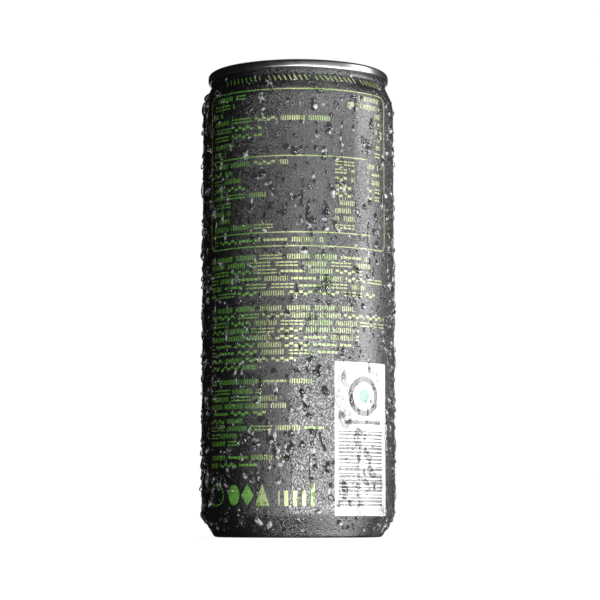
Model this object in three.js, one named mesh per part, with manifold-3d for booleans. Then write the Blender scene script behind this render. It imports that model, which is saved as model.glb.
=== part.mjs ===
// A slim 250 ml drink can, shut and upright, wet with condensation.
// Millimetres, +Z up, the origin under the can's centre on the surface that it stands on.
// The mouth of the can and the nose of its tab point to -Y.

import * as THREE from "three";
import { mergeVertices } from "three/addons/utils/BufferGeometryUtils.js";
import Module from "manifold-3d";

const canHeight = 128.2;
const canSides = 56;

// The body: a straight wall between a tapered foot and a necked-in shoulder.
const bodyRadius = 26.5;
const footLean = 31;
const footBlendRadius = 3;
const standRadius = 22.22;
const standWidth = 0.8;
const standBeadRadius = 1.3;
const standInnerLean = 20;
const domeHeight = 9.2;
const domeEdgeRadius = 19.7;
const domeEdgeHeight = 2.4;
const shoulderLean = 25;
const shoulderRadius = 10;
const neckRadius = 24.3;
const neckBlendRadius = 2;
const neckTopDepth = 3.3;

// The end: the lid with the double seam that joins it to the body. Depths count down from the top.
const seamRadius = 25.1;
const seamInnerRadius = 23.75;
const seamDepth = 2.5;
const seamCrownDepth = 0.55;
const seamEdgeRadius = 0.3;
const chuckWallTopDepth = 0.8;
const chuckWallLean = 15.3;
const sheet = 0.5;
const countersinkRadius = 21.8;
const countersinkHalfWidth = 0.55;
const countersinkDepth = 6.4;
const panelDepth = 4.1;
const panelEdgeRadius = 0.5;
const clearance = 0.3;

// The panel: a sunk field round the tab, the scored mouth with its bead, and a dish for the fingertip.
const fieldDepth = 0.3;
const fieldFront = { radius: 10.8, y: -9 };
const fieldBack = { radius: 7.8, y: 9.5 };
const mouth = { halfWidth: 8.8, halfLength: 6.9, y: -11.2 };
const scoreWidth = 0.4;
const scoreDepth = 0.2;
const mouthBead = { halfWidth: 4.6, halfLength: 1.7, y: -13.4, height: 0.35 };
const fingerDish = { radius: 5.2, y: 13, depth: 0.9 };
const rivetRadius = 1.6;
const rivetHeadRadius = 2.4;
const rivetHeadHeight = 0.6;

// The tab: a rounded plate with a finger hole and a thin island that the rivet holds.
const tabNose = { radius: 7.6, y: -0.6 };
const tabHeel = { radius: 6.5, y: 8.2 };
const tabThickness = 1.3;
const tabRounding = 0.35;
const tabHole = { halfWidth: 4.4, halfLength: 3.4, y: 9.2 };
const islandThickness = 0.5;
const islandRadius = 4.6;
const slotInnerRadius = 3.4;
const slotOuterRadius = 4.1;
const slotHalfAngle = 130;

// The water: the largest drops, spread evenly round the can from foot to neck.
const dropCount = 150;
const dropSeed = 20511;
const dropSides = 6;
const dropLowest = 2.6;
const dropHighest = canHeight - 5.2;
const dropRadiusLeast = 0.7;
const dropRadiusMost = 1.25;
const dropHeightShare = 0.6;
const dropSink = 0.12;
const dropStretch = 0.35;
const dropTurnJitter = 0.04;
const goldenTurn = 0.381966;

const wasm = await Module();
wasm.setup();

const radians = THREE.MathUtils.degToRad;

// Points of a circular arc in the plane of a profile, angles in degrees from the radius axis.
function arc(radius, height, size, from, to, steps, sizeUp = size) {
  const clockwise = to < from;
  const curve = new THREE.EllipseCurve(
    radius,
    height,
    size,
    sizeUp,
    radians(from),
    radians(to),
    clockwise,
  );
  return curve.getPoints(steps);
}

function point(radius, height) {
  return new THREE.Vector2(radius, height);
}

// A closed solid of revolution about Z.
function turned(profile, sides) {
  return new THREE.LatheGeometry(profile, sides).rotateX(Math.PI / 2);
}

function solidOf(geometry) {
  const bare = geometry.clone();
  bare.deleteAttribute("normal");
  bare.deleteAttribute("uv");
  const merged = mergeVertices(bare, 1e-4);
  return new wasm.Manifold(
    new wasm.Mesh({
      numProp: 3,
      vertProperties: merged.attributes.position.array,
      triVerts: new Uint32Array(merged.index.array),
    }),
  );
}

function geometryOf(solid) {
  const mesh = solid.getMesh();
  const geometry = new THREE.BufferGeometry();
  geometry.setAttribute(
    "position",
    new THREE.BufferAttribute(mesh.vertProperties, mesh.numProp),
  );
  geometry.setIndex(new THREE.BufferAttribute(mesh.triVerts, 1));
  geometry.computeVertexNormals();
  return geometry;
}

// The outline round two circles on the Y axis, the front one at the lower y.
function teardrop(front, back) {
  const lean = Math.asin((front.radius - back.radius) / (back.y - front.y));
  const shape = new THREE.Shape();
  shape.absarc(0, front.y, front.radius, Math.PI - lean, 2 * Math.PI + lean);
  shape.absarc(0, back.y, back.radius, lean, Math.PI - lean);
  return shape;
}

function ellipse({ halfWidth, halfLength, y }, grow = 0) {
  const shape = new THREE.Shape();
  shape.absellipse(0, y, halfWidth + grow, halfLength + grow, 0, 2 * Math.PI);
  return shape;
}

function extruded(shape, bottom, top, curveSegments) {
  const settings = { depth: top - bottom, bevelEnabled: false, curveSegments };
  return new THREE.ExtrudeGeometry(shape, settings).translate(0, 0, bottom);
}

// The outside of the body from the stand ring to the neck, from which the drops take their places.
function outerWall() {
  const lean = radians(footLean);
  const foot = point(bodyRadius - footBlendRadius, 0);
  foot.y =
    standBeadRadius +
    (Math.cos(lean) * (foot.x - standRadius) +
      footBlendRadius -
      standBeadRadius) /
      Math.sin(lean);
  const slope = radians(shoulderLean);
  const neck = point(neckRadius + neckBlendRadius, canHeight - neckTopDepth);
  const shoulder = point(bodyRadius - shoulderRadius, 0);
  shoulder.y =
    neck.y +
    (Math.cos(slope) * (neck.x - shoulder.x) -
      neckBlendRadius -
      shoulderRadius) /
      Math.sin(slope);
  return [
    ...arc(standRadius, standBeadRadius, standBeadRadius, -90, -footLean, 3),
    ...arc(foot.x, foot.y, footBlendRadius, -footLean, 0, 3),
    ...arc(shoulder.x, shoulder.y, shoulderRadius, 0, shoulderLean, 4),
    ...arc(neck.x, neck.y, neckBlendRadius, 180 + shoulderLean, 180, 2),
  ];
}

// The outer face of the sloping wall inside the seam, moved out by a gap, at a depth below the top.
function chuckWallRadius(depth, out) {
  const lean = radians(chuckWallLean);
  const drop = (depth - chuckWallTopDepth) * Math.tan(lean);
  return seamInnerRadius - drop + out / Math.cos(lean);
}

function bareBody() {
  const sag = domeHeight - domeEdgeHeight;
  const domeRadius = (domeEdgeRadius ** 2 + sag ** 2) / (2 * sag);
  const domeCentre = domeHeight - domeRadius;
  const domeEdge = 90 - (Math.asin(domeEdgeRadius / domeRadius) * 180) / Math.PI;
  const standInner = standRadius - standWidth;
  const beadStart = -180 + standInnerLean;
  const topDepth = seamDepth + clearance;
  const floorDepth = countersinkDepth + sheet + clearance;
  const out = sheet + clearance;
  const profile = [
    ...arc(0, domeCentre, domeRadius, 90, domeEdge, 4),
    ...arc(standInner, standBeadRadius, standBeadRadius, beadStart, -90, 3),
    ...outerWall(),
    point(neckRadius, canHeight - topDepth),
    point(chuckWallRadius(topDepth, out), canHeight - topDepth),
    point(chuckWallRadius(floorDepth, out), canHeight - floorDepth),
    point(0, canHeight - floorDepth),
  ];
  profile[0].x = 0;
  return solidOf(turned(profile, canSides));
}

// The park-miller sequence, as numbers from 0 to 1.
function draws(seed) {
  let state = seed;
  return () => {
    state = (state * 48271) % 2147483647;
    return state / 2147483647;
  };
}

// The wall's radius at a height, and how far its face leans up from level there.
function wallAt(wall, height) {
  const i = wall.findIndex((p) => p.y > height);
  const low = wall[i - 1];
  const high = wall[i];
  const share = (height - low.y) / (high.y - low.y);
  const radius = low.x + (high.x - low.x) * share;
  const lean = Math.atan2(low.x - high.x, high.y - low.y);
  return { radius, lean };
}

// One drop: half an egg that stands on the wall, a little taller than it is wide.
function drop(wall, turn, height, radius, stretch) {
  const { radius: reach, lean } = wallAt(wall, height);
  const thickness = radius * dropHeightShare;
  const seat = reach - dropSink * radius;
  return new THREE.SphereGeometry(1, dropSides, 4)
    .rotateZ(-Math.PI / 2)
    .scale(thickness, radius, radius * stretch)
    .rotateY(-lean)
    .translate(seat, 0, height)
    .rotateZ(turn * 2 * Math.PI);
}

function wetBody() {
  const wall = outerWall();
  const next = draws(dropSeed);
  let body = bareBody();
  const span = dropHighest - dropLowest;
  for (let i = 0; i < dropCount; i++) {
    const height = dropLowest + (span * (i + next())) / dropCount;
    const turn = i * goldenTurn + dropTurnJitter * (next() - 0.5);
    const size = next() ** 2;
    const radius = dropRadiusLeast + (dropRadiusMost - dropRadiusLeast) * size;
    const stretch = 1 + dropStretch * next();
    body = body.add(solidOf(drop(wall, turn, height, radius, stretch)));
  }
  return geometryOf(body);
}

function bareEnd() {
  const crown = (seamRadius - seamInnerRadius) / 2;
  const crownCentre = seamRadius - crown;
  const edge = seamRadius - seamEdgeRadius;
  const seamFoot = canHeight - seamDepth;
  const valley = canHeight - countersinkDepth + countersinkHalfWidth;
  const panel = canHeight - panelDepth;
  const floor = canHeight - countersinkDepth - sheet;
  const panelWall = countersinkRadius - countersinkHalfWidth;
  const profile = [
    point(0, floor),
    point(chuckWallRadius(countersinkDepth + sheet, sheet), floor),
    point(chuckWallRadius(seamDepth, sheet), seamFoot),
    ...arc(edge, seamFoot + seamEdgeRadius, seamEdgeRadius, -90, 0, 2),
    ...arc(crownCentre, canHeight - seamCrownDepth, crown, 0, 180, 6, seamCrownDepth),
    point(seamInnerRadius, canHeight - chuckWallTopDepth),
    ...arc(countersinkRadius, valley, countersinkHalfWidth, -chuckWallLean, -180, 4),
    ...arc(panelWall - panelEdgeRadius, panel - panelEdgeRadius, panelEdgeRadius, 0, 90, 2),
    point(0, panel),
  ];
  return solidOf(turned(profile, canSides));
}

function canEnd() {
  const panel = canHeight - panelDepth;
  const field = panel - fieldDepth;
  const above = panel + 1;
  const sunk = extruded(teardrop(fieldFront, fieldBack), field, above, 12);
  const groove = ellipse(mouth, scoreWidth / 2);
  groove.holes.push(ellipse(mouth, -scoreWidth / 2));
  const score = extruded(groove, field - scoreDepth, above, 18);
  const dish = new THREE.SphereGeometry(1, 16, 8)
    .rotateX(Math.PI / 2)
    .scale(fingerDish.radius, fingerDish.radius, fingerDish.depth)
    .translate(0, fingerDish.y, field);
  const bead = new THREE.SphereGeometry(1, 16, 6)
    .rotateX(Math.PI / 2)
    .scale(mouthBead.halfWidth, mouthBead.halfLength, mouthBead.height)
    .translate(0, mouthBead.y, field);
  const island = panel + islandThickness;
  const head = island + clearance;
  const headEdge = rivetHeadHeight / 2;
  const rivet = [
    point(0, field - sheet),
    point(rivetRadius, field - sheet),
    point(rivetRadius, head),
    point(rivetHeadRadius, head),
    ...arc(rivetHeadRadius - headEdge, head + headEdge, headEdge, 0, 90, 2),
    point(0, head + rivetHeadHeight),
  ];
  return geometryOf(
    bareEnd()
      .subtract(solidOf(sunk))
      .subtract(solidOf(score))
      .subtract(solidOf(dish))
      .add(solidOf(bead))
      .add(solidOf(turned(rivet, 18))),
  );
}

function pullTab() {
  const bottom = canHeight - panelDepth;
  const outline = teardrop(tabNose, tabHeel);
  outline.holes.push(ellipse(tabHole));
  const plate = new THREE.ExtrudeGeometry(outline, {
    depth: tabThickness - 2 * tabRounding,
    bevelThickness: tabRounding,
    bevelSize: tabRounding,
    bevelOffset: -tabRounding,
    bevelSegments: 2,
    curveSegments: 10,
  }).translate(0, 0, bottom + tabRounding);
  const top = bottom + tabThickness + 1;
  const islandTop = bottom + islandThickness;
  const round = { halfWidth: islandRadius, halfLength: islandRadius, y: 0 };
  const pocket = extruded(ellipse(round), islandTop, top, 10);
  const half = radians(slotHalfAngle);
  const slot = new THREE.Shape();
  slot.absarc(0, 0, slotOuterRadius, Math.PI / 2 - half, Math.PI / 2 + half);
  slot.absarc(0, 0, slotInnerRadius, Math.PI / 2 + half, Math.PI / 2 - half, true);
  const holeRadius = rivetRadius + clearance;
  const hole = { halfWidth: holeRadius, halfLength: holeRadius, y: 0 };
  return geometryOf(
    solidOf(plate)
      .subtract(solidOf(pocket))
      .subtract(solidOf(extruded(slot, bottom - 1, top, 10)))
      .subtract(solidOf(extruded(ellipse(hole), bottom - 1, top, 10))),
  );
}

const printedCoat = new THREE.MeshStandardMaterial({ color: 0x2a2a2b, roughness: 0.55, metalness: 0.2 });
const bareAluminium = new THREE.MeshStandardMaterial({ color: 0xc4c6c8, roughness: 0.3, metalness: 0.95 });
const tabAluminium = new THREE.MeshStandardMaterial({ color: 0xcfd1d3, roughness: 0.25, metalness: 0.95 });

function named(name, geometry, material) {
  const mesh = new THREE.Mesh(geometry, material);
  mesh.name = name;
  return mesh;
}

const can = new THREE.Group();
can.add(
  named("can_body", wetBody(), printedCoat),
  named("can_end", canEnd(), bareAluminium),
  named("pull_tab", pullTab(), tabAluminium),
);

export default can;
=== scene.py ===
"""A slim drink can, wet with condensation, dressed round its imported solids."""

import math
from functools import partialmethod

import bpy
import numpy as np
from bpy.props import FloatProperty, FloatVectorProperty, IntProperty, PointerProperty
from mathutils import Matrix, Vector
from mathutils.geometry import delaunay_2d_cdt


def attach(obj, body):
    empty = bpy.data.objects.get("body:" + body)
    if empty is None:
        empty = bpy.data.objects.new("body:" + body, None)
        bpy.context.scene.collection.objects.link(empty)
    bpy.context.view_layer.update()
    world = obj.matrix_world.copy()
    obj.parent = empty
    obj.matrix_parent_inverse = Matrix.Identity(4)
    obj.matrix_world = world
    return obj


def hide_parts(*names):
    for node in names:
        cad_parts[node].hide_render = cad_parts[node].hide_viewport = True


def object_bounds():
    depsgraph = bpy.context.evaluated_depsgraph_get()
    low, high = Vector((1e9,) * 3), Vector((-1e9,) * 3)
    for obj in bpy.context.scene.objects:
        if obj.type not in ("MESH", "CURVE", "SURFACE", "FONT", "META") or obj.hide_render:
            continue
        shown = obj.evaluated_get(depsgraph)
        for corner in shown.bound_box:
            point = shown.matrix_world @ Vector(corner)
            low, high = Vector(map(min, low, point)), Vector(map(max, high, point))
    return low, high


bl_info = {
    "name": "Wet Drink Can",
    "version": (1, 0, 0),
    "blender": (4, 5, 0),
    "location": "View3D > Sidebar > Drink Can",
    "description": "Makes the finishes, the print, the water and the studio of a slim drink can",
    "category": "Object",
}

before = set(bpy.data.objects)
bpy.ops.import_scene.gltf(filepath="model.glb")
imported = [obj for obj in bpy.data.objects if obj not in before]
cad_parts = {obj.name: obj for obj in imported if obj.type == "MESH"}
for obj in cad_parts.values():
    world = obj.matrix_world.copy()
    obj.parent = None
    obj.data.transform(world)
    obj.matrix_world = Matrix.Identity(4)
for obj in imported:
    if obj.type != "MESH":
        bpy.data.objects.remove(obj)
CAD_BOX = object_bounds()
MM = 0.001
CAN_HEIGHT = CAD_BOX[1].z / MM
BODY = "root"

# The body's outside, in millimetres, as in the solid.
BODY_RADIUS = 26.5
FOOT_LEAN = 31.0
FOOT_BLEND = 3.0
STAND_RADIUS = 22.22
STAND_WIDTH = 0.8
STAND_BEAD = 1.3
STAND_INNER_LEAN = 20.0
DOME_HEIGHT = 9.2
DOME_EDGE_RADIUS = 19.7
DOME_EDGE_HEIGHT = 2.4
SHOULDER_LEAN = 25.0
SHOULDER_RADIUS = 10.0
NECK_RADIUS = 24.3
NECK_BLEND = 2.0
NECK_TOP_DEPTH = 3.3
BODY_SIDES = 340
WALL_STEP = 0.56

# The end, in millimetres. Depths count down from the top of the seam.
SEAM_RADIUS = 25.1
SEAM_INNER_RADIUS = 23.75
SEAM_DEPTH = 2.5
SEAM_CROWN = 0.55
SEAM_SHOULDER = 0.8
SEAM_BULGE = 0.03
HEM_RADIUS = 0.5
HEM_RISE = 0.6
HEM_MIDDLE = 0.75
HEM_LOWEST = 0.12
CHUCK_TOP_DEPTH = 0.8
CHUCK_LEAN = 15.3
CHUCK_ROWS = (1.4, 5.2, 6)
SHEET = 0.5
SINK_RADIUS = 21.8
SINK_HALF_WIDTH = 0.55
SINK_DEPTH = 6.4
PANEL_DEPTH = 4.1
PANEL_EDGE = 0.5
PANEL_RING_STEP = 0.2
FIELD_DEPTH = 0.3
FIELD_FRONT = (-9.0, 10.8)
FIELD_BACK = (9.5, 7.8)
MOUTH_Y = -11.2
MOUTH_HALF = (8.8, 6.9)
BEAD_Y = -13.4
BEAD_HALF = (4.6, 1.7)
BEAD_HEIGHT = 0.35
RIDGE_SHARE = 0.86
RIDGE_WIDTH = 0.35
RIDGE_HEIGHT = 0.12
DISH_Y = 13.0
DISH_RADIUS = 5.2
DISH_DEPTH = 0.9
RIVET_RADIUS = 1.6
RIVET_HEAD = (2.4, 0.6)
RIVET_DIMPLE = ((1.2, 0.04), (0.8, 0.22), (0, 0.26))
END_SIDES = 320

# The tab, in millimetres.
TAB_NOSE = (-0.6, 7.6)
TAB_HEEL = (8.2, 6.5)
TAB_THICKNESS = 1.3
TAB_HOLE_Y = 9.2
TAB_HOLE_HALF = (4.4, 3.4)
TAB_WEB = 0.3
TAB_WEB_TOP = 0.5
TAB_CURL = 1.5
TAB_ISLAND = 4.6
TAB_SLOT = (3.4, 4.1)
TAB_SLOT_HALF_ANGLE = 130.0
RIVET_GAP = 0.3
TAB_THINNEST = 0.06
TAB_WEB_EASE = (TAB_CURL - 0.4, TAB_CURL + 0.2)
TAB_ISLAND_EASE = (-0.5, 0.1)
TAB_ISLAND_START = (0.6, 1.2)
TAB_INSETS = (0, 0.03, 0.1, 0.2, 0.35, 0.5, 0.65, 0.85, 1.05, 1.25, 1.45, 1.7)
ISLAND_RINGS = (RIVET_RADIUS + RIVET_GAP, 2.4, 2.9, TAB_ISLAND)

# The studio, in metres: the floor, the world's light on the can, and the soft boxes by azimuth,
# elevation, distance, size and radiance.
FLOOR_SIZE = 4.0
FLOOR_SHADE = (60.0, 320.0)
WORLD_GLOW = 0.008
LIGHTS = {
    "key": (87, 2, 0.9, (0.46, 0.9), 8.5),
    "key_middle": (50, 2, 0.9, (0.6, 0.9), 0.45),
    "key_low": (32, -8.6, 0.42, (0.7, 0.2), 15.0),
    "low_middle": (-10, -12.5, 0.42, (0.34, 0.14), 4.5),
    "back_soft": (180, 6, 1.0, (0.3, 0.6), 1.6),
    "high_back": (180, 58, 1.1, (0.7, 0.5), 3.0),
    "foot_glow": (62, -48, 0.7, (0.6, 0.3), 8.0),
}

# The largest drops, which the solid carries too.
LARGE_COUNT = 150
LARGE_SEED = 20511
LARGE_LOWEST = 2.6
LARGE_HIGHEST = CAN_HEIGHT - 5.2
LARGE_RADII = (0.7, 1.25)
LARGE_HEIGHT_SHARE = 0.6
LARGE_STRETCH = 0.35
LARGE_TURN_JITTER = 0.04
LARGE_SIDES = 24
LARGE_RINGS = 9
LARGE_WOBBLE = 0.1
LARGE_WOBBLE_SEED = 11
GOLDEN_TURN = 0.381966

# Every drop's underside lies this far over the coat, and a cap's height falls by this power. The
# crown's size and sag, the narrowing of the top and the lean are shares of the drop. A draw of
# LEAN_DRAW gives no lean.
DROP_GAP = 0.014
CAP_POWER = 2.3
CROWN_SHARE = 0.14
CROWN_SAG = 0.25
TOP_NARROWING = 0.22
LEAN_SHARE = 0.5
LEAN_DRAW = 0.75

# Scattered drops: piece, amount, radii, power of the radii's draw, how much taller than wide a
# draw makes them, sides, rings, what is added to the seed, and bulge.
DROP_KINDS = (
    ("water_drops", "drops", (0.4, 1.05), 1.2, 2.2, 16, 6, 0, 1.0),
    ("round_drops", "round", (0.4, 0.85), 1.6, 0.4, 16, 7, 3, 0.5),
    ("small_drops", "small", (0.18, 0.4), 1.2, 1.2, 10, 4, 2, 1.0),
    ("water_beads", "beads", (0.1, 0.18), 1.2, 0.5, 6, 3, 1, 1.0),
)
SCATTER_ENDS = (1.9, CAN_HEIGHT - 3.6)
SCATTER_POWER = 1.2
SCATTER_WOBBLE = 0.16

# Where a draw picks from a pair, the pair is the least value and how much the draw adds.
SCATTER_THICKNESS = (0.42, 0.28)
RUN_LENGTH = (3, 11)
RUN_LENGTH_POWER = 1.8
RUN_TOP = (12, CAN_HEIGHT - 20)
RUN_LOWEST = 7
RUN_HALF_WIDTH = (0.35, 0.4)
RUN_BEND = (0.2, 0.5)
RUN_WAVE = 0.45
RUN_TAIL_THICKNESS = 0.14
RUN_ROWS = 22
RUN_COLUMNS = 9
RUN_SEED = 31

# The mist thins by a share between two heights near the neck, between two ways to the left, and on
# three drier stretches round the can, one of them round DRIED_ALONG. Its thinner grey to the left
# is painted shade on the can's shaded left side.
MIST_NECK = (96.0, 124.0, 0.5)
MIST_LEFT_SHADE = (6.0, 22.0, 0.4)
DRIED_TURNS = 3
DRIED_ALONG = 22.0
DRIED_EDGE = (0.72, 0.95)
DRIED_SHARE = 0.6

# Colours that the panel doesn't list.
OLIVE = (0.14, 0.16, 0.02)
DARK_MARK = (0.045, 0.046, 0.046)
LEAF_GREEN = (0.06, 0.16, 0.1)
# Under the water: the wet coat's near black, and pale patches that are painted light for the light
# the drops gather.
WET_BLACK_AND_PAINTED_GLOW = ((0.02, 0.02, 0.021), (0.34, 0.35, 0.35))


class CoatFinish(bpy.types.PropertyGroup):
    """Colours and roughness of the printed coat."""

    black: FloatVectorProperty(
        name="Coat", description="Matt black coat",
        subtype="COLOR", default=(0.0035, 0.0035, 0.0038),
    )
    # The shift between green and yellow round the can is partly painted shade at the left and
    # painted light in the middle.
    green: FloatVectorProperty(
        name="Green ink", description="Ink at the left of the print",
        subtype="COLOR", default=(0.055, 0.16, 0.022),
    )
    yellow: FloatVectorProperty(
        name="Yellow ink", description="Ink in the middle and at the right of the print",
        subtype="COLOR", default=(0.35, 0.375, 0.165),
    )
    white: FloatVectorProperty(
        name="White ink", description="Field behind the striped code",
        subtype="COLOR", default=(0.33, 0.335, 0.335),
    )
    mist: FloatVectorProperty(
        name="Mist", description="Grey of the mist's beads, which scatter the light",
        subtype="COLOR", default=(0.011, 0.011, 0.011),
    )
    grain: FloatProperty(
        name="Mist size", description="Width of one bead of the mist on the coat, in millimetres",
        default=0.34,
    )
    grain_height: FloatProperty(
        name="Mist height", description="Height of the mist on the coat",
        unit="LENGTH", default=0.00013,
    )


class WaterAmount(bpy.types.PropertyGroup):
    """How much water stands on the can."""

    drops: IntProperty(name="Drops", description="Middling drops", default=700)
    round: IntProperty(name="Round drops", description="Drops that stand up round", default=300)
    small: IntProperty(name="Small drops", description="Small drops", default=2300)
    beads: IntProperty(name="Beads", description="Beads between the drops", default=2600)
    runs: IntProperty(name="Runs", description="Tracks that drops have run down", default=150)
    seed: IntProperty(name="Seed", description="Start of the random draws", default=7)


class StudioSet(bpy.types.PropertyGroup):
    """Where the studio's camera stands and how it looks."""

    distance: FloatProperty(
        name="Distance", description="From the camera to the can's axis", unit="LENGTH", default=0.6
    )
    aside: FloatProperty(
        name="Aside", description="How far the camera stands to the right of the can's axis",
        unit="LENGTH", default=0.00052,
    )
    height: FloatProperty(
        name="Height", description="Camera above the floor", unit="LENGTH", default=0.005
    )
    pitch: FloatProperty(
        name="Pitch", description="How far the camera looks up",
        subtype="ANGLE", default=math.radians(5.75),
    )
    lens: FloatProperty(
        name="Lens", description="Focal length on a 36 mm sensor, in millimetres", default=130.4
    )


class Socket:
    """A number, colour or vector of a material. Its operators add the Math nodes."""

    def __init__(self, shader, socket):
        self.shader = shader
        self.socket = socket

    def math(self, operation, *others):
        inputs = dict(enumerate((self, *others)))
        return self.shader.node("ShaderNodeMath", {"operation": operation}, inputs)

    __add__ = __radd__ = partialmethod(math, "ADD")
    __mul__ = __rmul__ = partialmethod(math, "MULTIPLY")
    __sub__ = partialmethod(math, "SUBTRACT")
    __gt__ = partialmethod(math, "GREATER_THAN")
    __lt__ = partialmethod(math, "LESS_THAN")
    __abs__ = partialmethod(math, "ABSOLUTE")
    least = partialmethod(math, "MINIMUM")
    most = partialmethod(math, "MAXIMUM")

    def __rsub__(self, other):
        return self.shader.node("ShaderNodeMath", {"operation": "SUBTRACT"}, {0: other, 1: self})

    def __neg__(self):
        return self * -1.0

    def split(self):
        """The whole number below a value, and the rest."""
        whole = self.math("FLOOR")
        return whole, self - whole

    def between(self, low, high):
        return (self > low) * (self < high)

    def step(self, low, high):
        """0 at low and 1 at high, eased between them."""
        inputs = {"Value": self, "From Min": low, "From Max": high}
        settings = {"interpolation_type": "SMOOTHSTEP"}
        return self.shader.node("ShaderNodeMapRange", settings, inputs)


class Shader:
    """The nodes of a material or a world."""

    def __init__(self, block):
        self.block = block
        block.use_nodes = True
        self.tree = block.node_tree
        self.tree.nodes.clear()

    def node(self, kind, settings=None, inputs=None, output=0):
        """One node of a type, with its settings set first and then its sockets fed."""
        made = self.tree.nodes.new(kind)
        for key, value in (settings or {}).items():
            if key == "stops":
                self.stops(made.color_ramp, *value)
            else:
                setattr(made, key, value)
        for key, value in (inputs or {}).items():
            target = made.inputs[key]
            if isinstance(value, Socket):
                self.tree.links.new(value.socket, target)
            else:
                target.default_value = (*value, 1) if target.type == "RGBA" else value
        return Socket(self, made.outputs[output]) if made.outputs else None

    def stops(self, ramp, interpolation, *stops):
        ramp.interpolation = interpolation
        while len(ramp.elements) < len(stops):
            ramp.elements.new(0.5)
        for element, (position, colour) in zip(ramp.elements, stops):
            element.position = position
            element.color = (*colour, 1.0)

    def mix(self, factor, first, second):
        """A colour between two colours."""
        inputs = {0: factor, 6: first, 7: second}
        return self.node("ShaderNodeMix", {"data_type": "RGBA"}, inputs, 2)

    def place(self):
        """x, y and z on the surface in millimetres, and all three as a vector."""
        point = self.node("ShaderNodeTexCoord", output="Object")
        inputs = {0: point, "Scale": 1 / MM}
        scaled = self.node("ShaderNodeVectorMath", {"operation": "SCALE"}, inputs)
        parts = [self.node("ShaderNodeSeparateXYZ", inputs={0: scaled}, output=i) for i in range(3)]
        return (*parts, scaled)

    def vector(self, x, y, z=0.0):
        return self.node("ShaderNodeCombineXYZ", inputs={0: x, 1: y, 2: z})

    def noise(self, vector, scale, detail=2.0):
        inputs = {"Vector": vector, "Scale": scale, "Detail": detail}
        return self.node("ShaderNodeTexNoise", inputs=inputs, output="Fac")

    def bump(self, height, distance):
        return self.node("ShaderNodeBump", inputs={"Height": height, "Distance": distance})

    def finish(self, **inputs):
        """Ends the material in a Principled shader with these sockets."""
        named = {name.replace("_", " "): value for name, value in inputs.items()}
        surface = self.node("ShaderNodeBsdfPrincipled", inputs=named)
        self.node("ShaderNodeOutputMaterial", inputs={"Surface": surface})
        return self.block


def linked(name, data):
    """A new object in the scene with this mesh, lamp or camera."""
    made = bpy.data.objects.new(name, data)
    bpy.context.scene.collection.objects.link(made)
    return made


def mesh_piece(name, points, faces, material, node=None, under=None):
    """A smooth piece that rides with the can, from points in millimetres and the faces' corners.

    under is (a material, a number): that many faces, the first ones, are a flat underside of it.
    """
    mesh = bpy.data.meshes.new(name)
    mesh.from_pydata((np.asarray(points) * MM).tolist(), [], faces)
    mesh.materials.append(material)
    smooth = np.ones(len(mesh.polygons), bool)
    if under:
        lining, count = under
        mesh.materials.append(lining)
        smooth[:count] = False
        mesh.polygons.foreach_set("material_index", (~smooth).astype(np.int32))
    mesh.polygons.foreach_set("use_smooth", smooth)
    mesh.update()
    piece = linked(name, mesh)
    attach(piece, BODY)
    if node:
        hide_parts(node)
    return piece


def arc(radius, height, size, start, end, steps, size_up=None):
    """Points of an arc in the plane of a profile, angles in degrees from the radius axis."""
    angles = np.radians(np.linspace(start, end, steps + 1))
    up = size if size_up is None else size_up
    return np.column_stack((radius + size * np.cos(angles), height + up * np.sin(angles)))


def line(start, end, step):
    """Points on a straight stretch of a profile, without its ends."""
    start, end = np.array(start, float), np.array(end, float)
    count = max(1, int(np.linalg.norm(end - start) / step))
    shares = np.arange(1, count)[:, None] / count
    return start + (end - start) * shares


def turned(profile, sides):
    """Points and faces of a profile of (radius, height) that starts and ends on the axis."""
    angles = np.arange(sides) * 2 * math.pi / sides
    inner = np.asarray(profile[1:-1])
    radii, heights = inner[:, 0][:, None], inner[:, 1][:, None]
    rings = np.stack(
        (radii * np.sin(angles), -radii * np.cos(angles), heights + 0 * angles), axis=-1
    )
    count = len(inner)
    points = [(0, 0, profile[0][1]), *rings.reshape(-1, 3).tolist(), (0, 0, profile[-1][1])]
    faces = []
    for j in range(sides):
        k = (j + 1) % sides
        faces.append((0, 1 + k, 1 + j))
        for i in range(count - 1):
            low, high = 1 + i * sides, 1 + (i + 1) * sides
            faces.append((low + j, low + k, high + k, high + j))
        last = 1 + (count - 1) * sides
        faces.append((last + j, last + k, len(points) - 1))
    return points, faces


def outer_wall():
    """The outside of the body as (radius, height) from the stand ring to the neck."""
    lean = math.radians(FOOT_LEAN)
    foot_r = BODY_RADIUS - FOOT_BLEND
    reach = math.cos(lean) * (foot_r - STAND_RADIUS) + FOOT_BLEND - STAND_BEAD
    foot_z = STAND_BEAD + reach / math.sin(lean)
    slope = math.radians(SHOULDER_LEAN)
    neck_r = NECK_RADIUS + NECK_BLEND
    neck_z = CAN_HEIGHT - NECK_TOP_DEPTH
    shoulder_r = BODY_RADIUS - SHOULDER_RADIUS
    fall = math.cos(slope) * (neck_r - shoulder_r) - NECK_BLEND - SHOULDER_RADIUS
    shoulder_z = neck_z + fall / math.sin(slope)
    bead = arc(STAND_RADIUS, STAND_BEAD, STAND_BEAD, -90, -FOOT_LEAN, 8)
    foot = arc(foot_r, foot_z, FOOT_BLEND, -FOOT_LEAN, 0, 8)
    shoulder = arc(shoulder_r, shoulder_z, SHOULDER_RADIUS, 0, SHOULDER_LEAN, 10)
    neck = arc(neck_r, neck_z, NECK_BLEND, 180 + SHOULDER_LEAN, 180, 8)
    parts = [bead]
    for after in (foot, shoulder, neck):
        parts += [line(parts[-1][-1], after[0], WALL_STEP), after]
    return np.concatenate(parts)


WALL = outer_wall()
WALL_SLOPE = np.gradient(WALL[:, 0]) / np.maximum(np.gradient(WALL[:, 1]), 1e-6)
WALL_LEAN = np.arctan(-WALL_SLOPE)


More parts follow.
